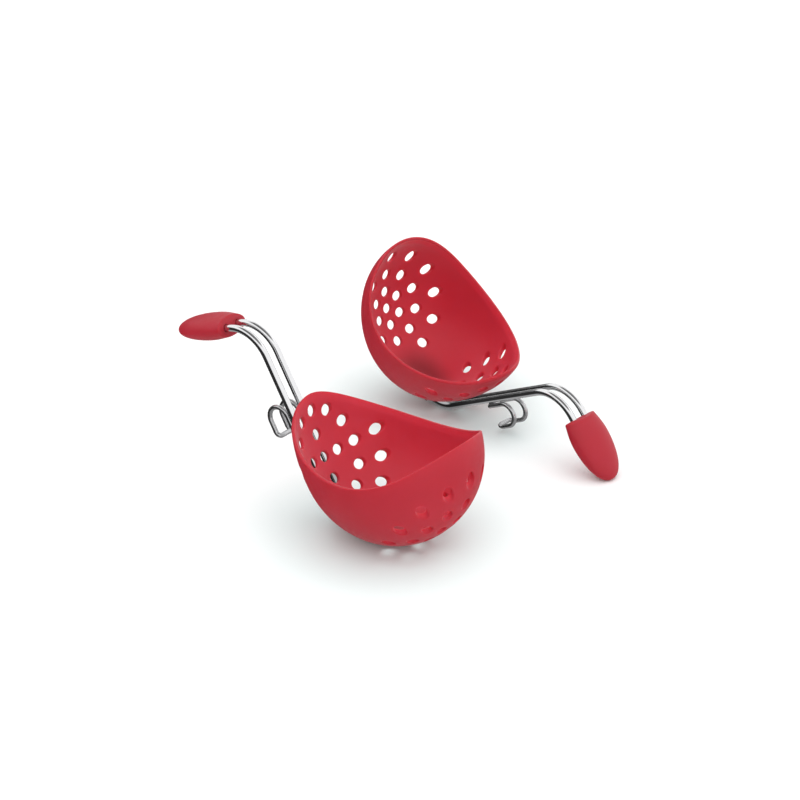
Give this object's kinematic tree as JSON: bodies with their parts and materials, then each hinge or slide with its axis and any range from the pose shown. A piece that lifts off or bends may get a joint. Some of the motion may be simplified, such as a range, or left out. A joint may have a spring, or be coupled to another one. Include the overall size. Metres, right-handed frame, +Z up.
{
  "type": "egg poacher",
  "caption": "Perforated silicone egg-poaching cups on bent steel wire handles, each with a soft grip and a wire hook for a pan's rim.",
  "frame": {"origin": "centre of the bottom of the set's box, on the table that both poachers stand on", "axes": "+Z up; +Y away from the front poacher towards the rear one, the set's longest extent; +X to the right, towards the rear poacher's grip"},
  "size_m": [0.187, 0.1956, 0.0765],
  "materials": {
    "silicone": "satin moulded silicone",
    "handle_steel": "polished stainless wire",
    "hook_steel": "bright drawn stainless wire"
  },
  "bodies": {
    "front_poacher": {"front_cup": "silicone", "front_handle_wire": "handle_steel", "front_pan_hook": "hook_steel", "front_grip": "silicone"},
    "rear_poacher": {"rear_cup": "silicone", "rear_handle_wire": "handle_steel", "rear_pan_hook": "hook_steel", "rear_grip": "silicone"}
  },
  "joints": [
    {"name": "rear_lift", "type": "slide", "parent": "front_poacher", "child": "rear_poacher", "axis": [0, 0, 1], "range_m": [0, 0.12]}
  ]
}
